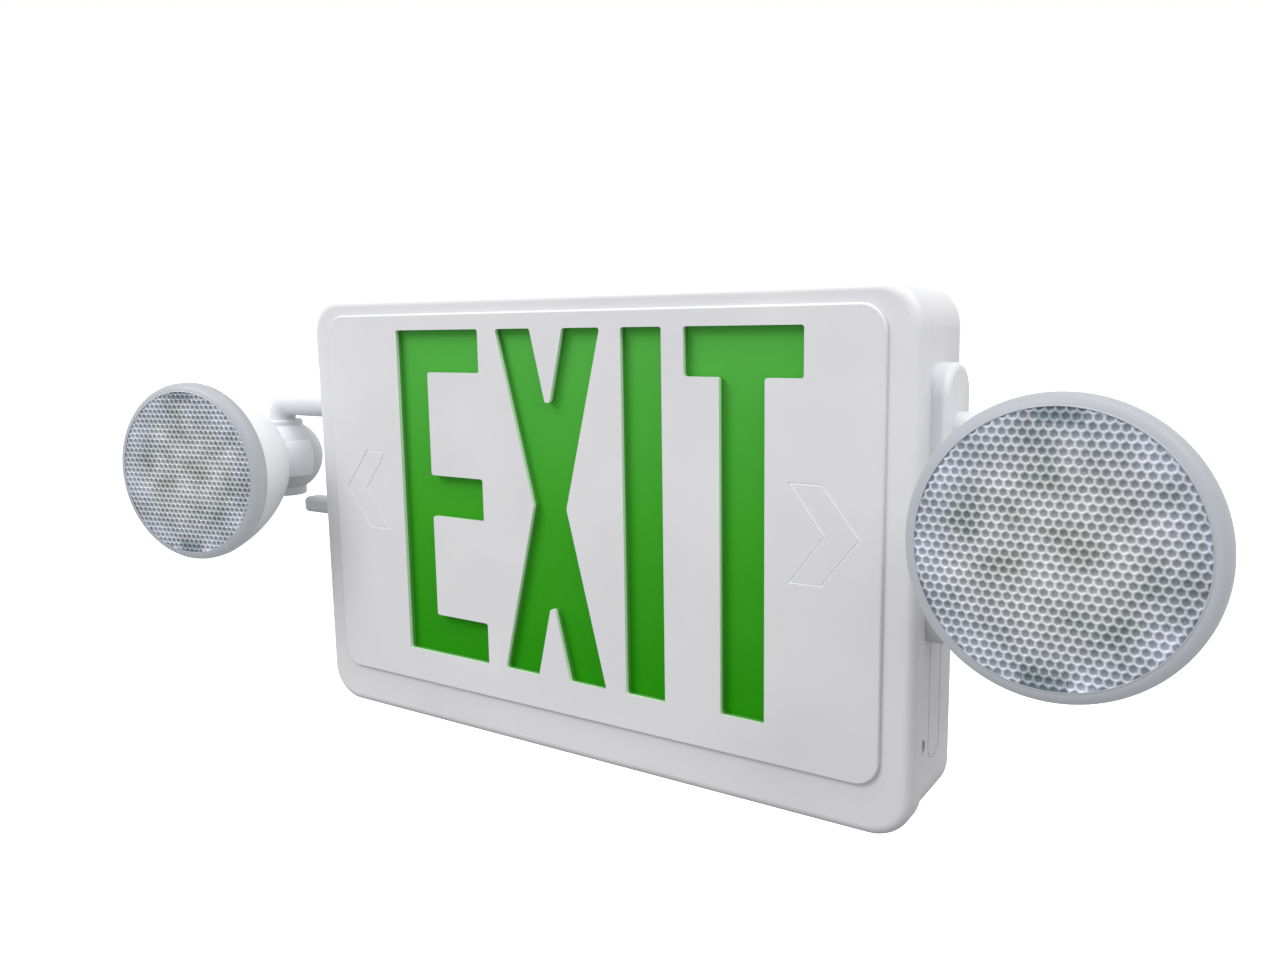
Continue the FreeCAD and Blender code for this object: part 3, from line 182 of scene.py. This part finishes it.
def cover_plastic():
    """The cover's white, with painted light: a painted green glow on the letters' walls, the sheet's
    dark green on their deeper part (painted shade and glow, also standing in for a raised sheet),
    and knock-out grooves painted pale to lift their shade.
    """
    made = plastic("white_cover", (0.62, 0.62, 0.645), (0.67, 0.67, 0.69), 0.36)
    tree = made.node_tree
    place = separate(tree, object_space(tree))
    facing = separate(tree, tree.nodes.new("ShaderNodeNewGeometry").outputs["Normal"])
    behind_face = math_node(tree, "GREATER_THAN", place["Y"], -FACE_DEPTH)
    level = away_from(tree, place["Z"], WORD_UP)
    # painted light: the letters' walls get a painted green glow from the sheet
    walls = product(
        tree, behind_face,
        math_node(tree, "LESS_THAN", math_node(tree, "ABSOLUTE", facing["Y"]), WALL_FACING),
        math_node(tree, "LESS_THAN", away_from(tree, place["X"], WORD_RIGHT), WORD_HALF),
        math_node(tree, "LESS_THAN", level, LETTER_HALF))
    # painted shade and green glow: the deeper walls take the sheet's dark green, also standing in
    # for a raised sheet
    painted_deep_green = product(tree, walls, math_node(tree, "GREATER_THAN", place["Y"], -GREEN_WALL_DEPTH))
    across = math_node(tree, "ABSOLUTE", place["X"])
    # painted light: the knock-out grooves are painted pale to lift the shade in them
    lightened_grooves = product(
        tree, behind_face,
        math_node(tree, "GREATER_THAN", across, CHEVRON_START),
        math_node(tree, "LESS_THAN", across, CHEVRON_END),
        math_node(tree, "LESS_THAN", level, CHEVRON_HALF))
    lay_tints(tree, principled(made), (
        (walls, 0.45, (0.50, 0.80, 0.42), "MIX"),
        (painted_deep_green, 0.95, (0.045, 0.30, 0.018), "MIX"),
        (lightened_grooves, 0.7, (0.98, 0.98, 1.0), "MIX")))
    return made


def sign_green():
    """Translucent green sheet with painted shading, paler at the top and deeper at the foot as the
    light falls, and a soft glow.
    """
    made, tree, shader = new_material("sign_green")
    space = object_space(tree)
    # painted shading: the green is paler at the top and deeper at the foot as the light falls
    height = map_range(tree, separate(tree, space)["Z"],
                       {"From Min": DEEP_BELOW, "From Max": PALE_ABOVE})
    clouds = product(tree, noise(tree, space, 25.0, 3.0), GREEN_CLOUDS)
    tint = ramp(tree, math_node(tree, "ADD", height, clouds), (
        (0.05, (0.014, 0.222, 0.001)), (0.55, (0.038, 0.295, 0.014)),
        (1.0, (0.070, 0.355, 0.050))))
    tree.links.new(tint, shader.inputs["Base Color"])
    tree.links.new(tint, shader.inputs["Emission Color"])
    set_values(shader, {"Emission Strength": 0.10, "Specular IOR Level": 0.05, "Roughness": 0.6})
    bump(tree, shader, noise(tree, space, 700.0, 2.0), 0.06)
    return made


def clear_plastic(name, roughness, tint):
    made, tree, shader = new_material(name)
    clouds = noise(tree, object_space(tree), 40.0, 3.0)
    dull = tuple(0.96 * value for value in tint)
    tree.links.new(ramp(tree, clouds, ((CLOUD_DARK, dull), (CLOUD_LIGHT, tint))),
                   shader.inputs["Base Color"])
    set_values(shader, {"Transmission Weight": 1.0, "IOR": 1.49, "Roughness": roughness})
    return made


def lens_plastic(name, dark, light, clearness):
    """Moulded lens: patchy grey in the middle, lilac towards the rim, and a painted dark teal view
    of the shaded board behind it at top and foot.
    """
    made = plastic(name, dark, light, 0.33, cloud=70.0)
    tree = made.node_tree
    set_values(principled(made), {"Transmission Weight": clearness})
    place = separate(tree, object_space(tree))
    across = math_node(tree, "ABSOLUTE", place["X"])
    level = math_node(tree, "ABSOLUTE", place["Z"])
    squares = math_node(tree, "ADD", product(tree, across, across), product(tree, level, level))
    outward = map_range(tree, math_node(tree, "SQRT", squares),
                        {"From Min": LILAC_FROM, "From Max": LILAC_TO})
    # painted shade: the board seen in shade behind the lens, painted on at top and foot
    painted_board_shade = product(tree, math_node(tree, "LESS_THAN", across, BOARD_SHADE_HALF),
                    math_node(tree, "GREATER_THAN", level, BOARD_SHADE_FROM))
    lay_tints(tree, principled(made), (
        (outward, 0.9, (0.88, 0.89, 1.05), "MULTIPLY"),
        (painted_board_shade, 0.55, (0.15, 0.24, 0.27), "MIX")))
    return made


WHITE = plastic("white_plastic", (0.62, 0.62, 0.645), (0.67, 0.67, 0.69), 0.36)
COVER = cover_plastic()
WHITE_ARM = plastic("white_arm", (0.62, 0.625, 0.65), (0.68, 0.685, 0.71), 0.42)
# a lighter copy of the white plastic for the bowls: painted light that lifts the shade on them
WHITE_BOWL_LIFTED = plastic("white_bowl_lifted", (0.80, 0.805, 0.83), (0.86, 0.865, 0.89), 0.42)
BOARD = plastic("board_green", (0.02, 0.16, 0.10), (0.04, 0.24, 0.15), 0.35, 300.0, 0.1, 90.0)
BLACK = plastic("black_plastic", (0.012, 0.012, 0.013), (0.03, 0.03, 0.032), 0.4)
STEEL = metal("plated_steel", (0.45, 0.45, 0.46), (0.66, 0.66, 0.67), 0.3)
SPRING = metal("spring_steel", (0.12, 0.12, 0.13), (0.25, 0.25, 0.26), 0.35)
CORE = metal("core_steel", (0.22, 0.22, 0.23), (0.34, 0.34, 0.35), 0.5)
MIRROR = metal("reflector_metal", (0.86, 0.86, 0.87), (0.97, 0.97, 0.98), 0.38, 160.0)
RESIN = plastic("led_resin", (0.84, 0.83, 0.66), (0.93, 0.92, 0.78), 0.25)
WRAP = plastic("battery_wrap", (0.05, 0.13, 0.36), (0.08, 0.20, 0.48), 0.3)
SLEEVE = plastic("can_sleeve", (0.02, 0.02, 0.07), (0.04, 0.05, 0.12), 0.25)
TERMINAL = plastic("terminal_green", (0.04, 0.22, 0.08), (0.07, 0.32, 0.12), 0.4)
BUTTON = plastic("button_grey", (0.035, 0.035, 0.04), (0.06, 0.06, 0.066), 0.35)
GREEN = sign_green()
LENS = clear_plastic("lens_clear", 0.5, (0.99, 0.992, 1.0))
CELL = lens_plastic("lens_cell", (0.29, 0.325, 0.31), (0.78, 0.80, 0.82), 0.6)
# a lighter, less clear copy of the lens plastic on the ridges: a painted highlight along them
RIDGE_HIGHLIGHT = lens_plastic("lens_ridge_highlight", (0.50, 0.54, 0.52), (0.92, 0.93, 0.94), 0.25)
RIM = clear_plastic("lens_rim", 0.45, (0.31, 0.32, 0.345))
# a faint painted glow lifts the milky ring's brightness
set_values(principled(RIM), {"Transmission Weight": 0.4, "Emission Strength": 0.2,
                             "Emission Color": (0.83, 0.86, 0.92, 1.0)})
PILOT = clear_plastic("pilot_red", 0.15, (0.75, 0.06, 0.04))

BY_SLOT = {
    "body_white": WHITE, "sign_green": GREEN, "circuit_board": BOARD, "led_body": RESIN,
    "core_steel": CORE, "black_plastic": BLACK, "terminal_green": TERMINAL, "can_sleeve": SLEEVE,
    "battery_wrap": WRAP, "button_grey": BUTTON, "pilot_lens": PILOT, "steel": STEEL,
    "spring_steel": SPRING, "lens_clear": LENS, "reflector": MIRROR,
}
for entry in record["subparts"]:
    node = nodes[entry["node"]]
    node.data.materials.clear()
    node.data.materials.append(BY_SLOT[entry["material_slot"]])
nodes["front_cover"].data.materials[0] = COVER
for side in SIDES:
    # the bowls take the lighter copy, painted light against their shade
    nodes["lamp_bowl_" + side].data.materials[0] = WHITE_BOWL_LIFTED
    for name in ("arm_", "knuckle_ball_", "knuckle_plug_", "bracket_"):
        nodes[name + side].data.materials[0] = WHITE_ARM

# ---------------------------------------------------------------- lens covers

# distances out from the ball's centre along the lamp's axis, and radii about that axis
RIM_OUT, FACE_OUT, SPIGOT_OUT = 0.065, 0.072, 0.0622
RIM_RADIUS, FIELD_RADIUS, INNER_RADIUS, SPIGOT_RADIUS = 0.0439, 0.0400, 0.0404, 0.0409
PLATE, SHOULDER, SHOULDER_STEPS, LEDGE_DROP = 0.0016, 0.0042, 8, 0.0004
# the small dishes: their pitch and depth, and how far their ridges lie behind the rim's face
CELL_PITCH, CELL_DEPTH, DISH_MARGIN = 0.00285, 0.00060, 0.0001
# share of a dish's radius and of its height for each ring of points, from the middle outwards
DISH_RINGS = ((0.40, 0.10), (0.70, 0.48), (0.87, 0.90), (1.0, 1.0))
LAST_CELL_RING = 1
SAME_POINT = 1e-6
ROUND_STEPS = 120
FRONT_FACING = -0.2
# the ball's centre on each side, and how the lamps rest: turned and tipped, in degrees
BALL_X, BALL_OUT, BALL_UP = 0.212, 0.0235, 0.0184
TURN = {"left": 12.0, "right": -3.5}
TIP = {"left": 0.0, "right": 4.0}


def lamp_space(side):
    """From the lamp's own space, its axis along -Y from the ball's centre, to the row frame."""
    x = BALL_X if side == "right" else -BALL_X
    turn = Matrix.Rotation(math.radians(TURN[side]), 4, "Z")
    tip = Matrix.Rotation(math.radians(-TIP[side]), 4, "X")
    return Matrix.Translation((x, -BALL_OUT, BALL_UP)) @ turn @ tip


def add_object(name, data):
    made = bpy.data.objects.new(name, data)
    bpy.context.scene.collection.objects.link(made)
    return made


def mesh_object(name, points, faces, material, smooth):
    mesh = bpy.data.meshes.new(name)
    mesh.from_pydata(points, [], faces)
    mesh.validate()
    mesh.update()
    for face in mesh.polygons:
        face.use_smooth = smooth
    mesh.materials.append(material)
    return add_object(name, mesh)


def hexagon(cx, cz, radius):
    """The corners of a hexagon that stands on a corner, as (x, z) pairs."""
    angles = [math.radians(30 + 60 * index) for index in range(6)]
    return [(cx + radius * math.cos(angle), cz + radius * math.sin(angle)) for angle in angles]


def add_dish(shape, cx, cz, corner):
    """One dish: a fan round its middle, then rings of faces out to its ridge."""
    front = FACE_OUT - DISH_MARGIN
    middle = shape.verts.new((cx, -(front - CELL_DEPTH), cz))
    inner = None
    for number, (reach, rise) in enumerate(DISH_RINGS):
        y = -(front - CELL_DEPTH * (1.0 - rise))
        outer = [shape.verts.new((x, y, z)) for x, z in hexagon(cx, cz, reach * corner)]
        for index in range(6):
            following = (index + 1) % 6
            start = (middle,) if inner is None else (inner[index], inner[following])
            face = shape.faces.new((*start, outer[following], outer[index]))
            # the outer rings, at the ridge, take the painted ridge highlight
            face.material_index = 1 if number > LAST_CELL_RING else 0
        inner = outer


def hexagon_dishes():
    """Rows of small dishes that meet at their ridges, wider than the field."""
    shape = bmesh.new()
    corner = CELL_PITCH / 2 / math.cos(math.radians(30))
    rows = int(FIELD_RADIUS / (1.5 * corner)) + 2
    columns = int(FIELD_RADIUS / CELL_PITCH) + 2
    for row in range(-rows, rows + 1):
        for column in range(-columns, columns + 1):
            cx = (column + 0.5 * (row % 2)) * CELL_PITCH
            cz = row * 1.5 * corner
            if math.hypot(cx, cz) <= FIELD_RADIUS + CELL_PITCH:
                add_dish(shape, cx, cz, corner)
    bmesh.ops.remove_doubles(shape, verts=shape.verts, dist=SAME_POINT)
    return shape


def close_behind(shape, out):
    """Carry the border of an open sheet straight back to one level and fill it there."""
    border = [edge for edge in shape.edges if edge.is_boundary]
    grown = bmesh.ops.extrude_edge_only(shape, edges=border)["geom"]
    low = {item for item in grown if isinstance(item, bmesh.types.BMVert)}
    for point in low:
        point.co.y = -out
    foot = [item for item in grown
            if isinstance(item, bmesh.types.BMEdge) and set(item.verts) <= low]
    bmesh.ops.edgeloop_fill(shape, edges=foot)
    bmesh.ops.recalc_face_normals(shape, faces=shape.faces)


def field_prism():
    """A round prism as wide as the field, which reaches past the plate in front and behind."""
    points, faces = [], []
    for out in (FACE_OUT - 2 * PLATE, FACE_OUT + PLATE):
        for step in range(ROUND_STEPS):
            angle = 2 * math.pi * step / ROUND_STEPS
            points.append((FIELD_RADIUS * math.cos(angle), -out, FIELD_RADIUS * math.sin(angle)))
    for step in range(ROUND_STEPS):
        following = (step + 1) % ROUND_STEPS
        faces.append((step, following, ROUND_STEPS + following, ROUND_STEPS + step))
    faces.append(tuple(reversed(range(ROUND_STEPS))))
    faces.append(tuple(range(ROUND_STEPS, 2 * ROUND_STEPS)))
    return mesh_object("field_edge", points, faces, CELL, smooth=False)


def honeycomb_mesh():
    """The clear face: a round plate whose front is covered with small hexagonal dishes."""
    shape = hexagon_dishes()
    close_behind(shape, FACE_OUT - PLATE)
    mesh = bpy.data.meshes.new("dishes")
    shape.to_mesh(mesh)
    shape.free()
    for material in (CELL, RIDGE_HIGHLIGHT):
        mesh.materials.append(material)
    plate, cutter = add_object("dishes", mesh), field_prism()
    cut = plate.modifiers.new("round", "BOOLEAN")
    cut.operation = "INTERSECT"
    cut.solver = "EXACT"
    cut.object = cutter
    graph = bpy.context.evaluated_depsgraph_get()
    made = bpy.data.meshes.new_from_object(plate.evaluated_get(graph))
    for face in made.polygons:
        face.use_smooth = face.normal.y < FRONT_FACING
    for helper in (plate, cutter):
        bpy.data.objects.remove(helper)
    return made


def lathe(name, profile, material):
    """A closed outline of (radius, distance) pairs turned about the lamp's axis."""
    points, faces = [], []
    count = len(profile)
    for step in range(ROUND_STEPS):
        angle = 2 * math.pi * step / ROUND_STEPS
        for radius, out in profile:
            points.append((radius * math.cos(angle), -out, radius * math.sin(angle)))
        here, there = step * count, ((step + 1) % ROUND_STEPS) * count
        for index in range(count):
            following = (index + 1) % count
            faces.append((here + index, there + index, there + following, here + following))
    return mesh_object(name, points, faces, material, smooth=True)


def rim_outline():
    """The milky ring round the face: a skirt on the bowl's rim, a round shoulder and a spigot."""
    outline = [(SPIGOT_RADIUS, RIM_OUT), (RIM_RADIUS, RIM_OUT)]
    for step in range(SHOULDER_STEPS + 1):
        angle = math.radians(90 * step / SHOULDER_STEPS)
        outline.append((RIM_RADIUS - SHOULDER + SHOULDER * math.cos(angle),
                        FACE_OUT - SHOULDER + SHOULDER * math.sin(angle)))
    back = FACE_OUT - PLATE
    outline += [(FIELD_RADIUS, FACE_OUT), (FIELD_RADIUS, back), (INNER_RADIUS, back - LEDGE_DROP),
                (INNER_RADIUS, SPIGOT_OUT), (SPIGOT_RADIUS, SPIGOT_OUT)]
    return outline


dishes = honeycomb_mesh()
for side in SIDES:
    face = add_object("lens_face_" + side, dishes.copy())
    rim = lathe("lens_rim_" + side, rim_outline(), RIM)
    for piece in (face, rim):
        piece.matrix_world = lamp_space(side)
        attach(piece, "head_" + side)
    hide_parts("lamp_lens_" + side)

# ---------------------------------------------------------------- floor and light

FLOOR_LEVEL, FLOOR_SIZE = -0.75, 40.0
bpy.ops.mesh.primitive_plane_add(size=FLOOR_SIZE, location=(0.0, 0.0, FLOOR_LEVEL))
floor = bpy.context.object
floor.name = "floor"
pale, _, shader = new_material("floor_pale")
set_values(shader, {"Base Color": (0.9, 0.9, 0.9, 1.0), "Roughness": 0.9,
                    "Emission Color": (1.0, 1.0, 1.0, 1.0), "Emission Strength": 0.6})
floor.data.materials.append(pale)
floor.visible_diffuse = False
floor.visible_glossy = False
floor.visible_transmission = False

world = bpy.data.worlds.new("studio")
bpy.context.scene.world = world
world.use_nodes = True
tree = world.node_tree
# the room: brighter from above than from below, and plain white behind the sign
direction = tree.nodes.new("ShaderNodeTexCoord").outputs["Generated"]
upward = map_range(tree, separate(tree, direction)["Z"],
                   {"From Min": -1.0, "From Max": 1.0, "To Min": 0.18, "To Max": 1.16})
soft, seen = tree.nodes["Background"], tree.nodes.new("ShaderNodeBackground")
tree.links.new(upward, soft.inputs["Strength"])
set_values(seen, {"Strength": 1.02})
for shade in (soft, seen):
    set_values(shade, {"Color": (1.0, 1.0, 1.0, 1.0)})
path = tree.nodes.new("ShaderNodeLightPath")
choose = tree.nodes.new("ShaderNodeMixShader")
for socket, source in zip(choose.inputs, (path.outputs["Is Camera Ray"], soft.outputs[0],
                                          seen.outputs[0])):
    tree.links.new(source, socket)
tree.links.new(choose.outputs[0], tree.nodes["World Output"].inputs["Surface"])


def area_light(name, place, aim, size, power):
    data = bpy.data.lights.new(name, "AREA")
    data.energy = power
    data.size = size
    made = add_object(name, data)
    made.location = place
    made.rotation_euler = (Vector(aim) - Vector(place)).to_track_quat("-Z", "Y").to_euler()


area_light("key", (-0.85, -1.25, 1.3), (-0.12, 0.0, 0.0), 0.9, 20.0)
area_light("top", (0.3, -0.1, 1.5), (0.1, 0.0, 0.0), 0.8, 6.0)
area_light("side", (1.4, -0.4, 1.5), (0.1, 0.0, 0.0), 0.7, 11.0)

# ---------------------------------------------------------------- camera

# fitted to the corners of the letters: yaw to the left, pitch down, roll, all in radians
CAMERA_PLACE = Vector((0.2685, -0.39296, 0.08682))
YAW, PITCH, ROLL = 0.5858, 0.1474, -0.0156
SENSOR_WIDTH, FOCAL_LENGTH, CLIP_START = 36.0, 29.306, 0.01

forward = Vector((-math.sin(YAW) * math.cos(PITCH), math.cos(YAW) * math.cos(PITCH),
                  -math.sin(PITCH)))
level = Vector((math.cos(YAW), math.sin(YAW), 0.0))
upright = level.cross(forward)
right = math.cos(ROLL) * level + math.sin(ROLL) * upright
up = -math.sin(ROLL) * level + math.cos(ROLL) * upright
view = bpy.data.cameras.new("camera")
view.sensor_width = SENSOR_WIDTH
view.lens = FOCAL_LENGTH
view.clip_start = CLIP_START
camera = add_object("camera", view)
camera.matrix_world = (Matrix.Translation(CAMERA_PLACE)
                       @ Matrix((right, up, -forward)).transposed().to_4x4())
bpy.context.scene.camera = camera
bpy.context.scene.view_settings.view_transform = "Standard"
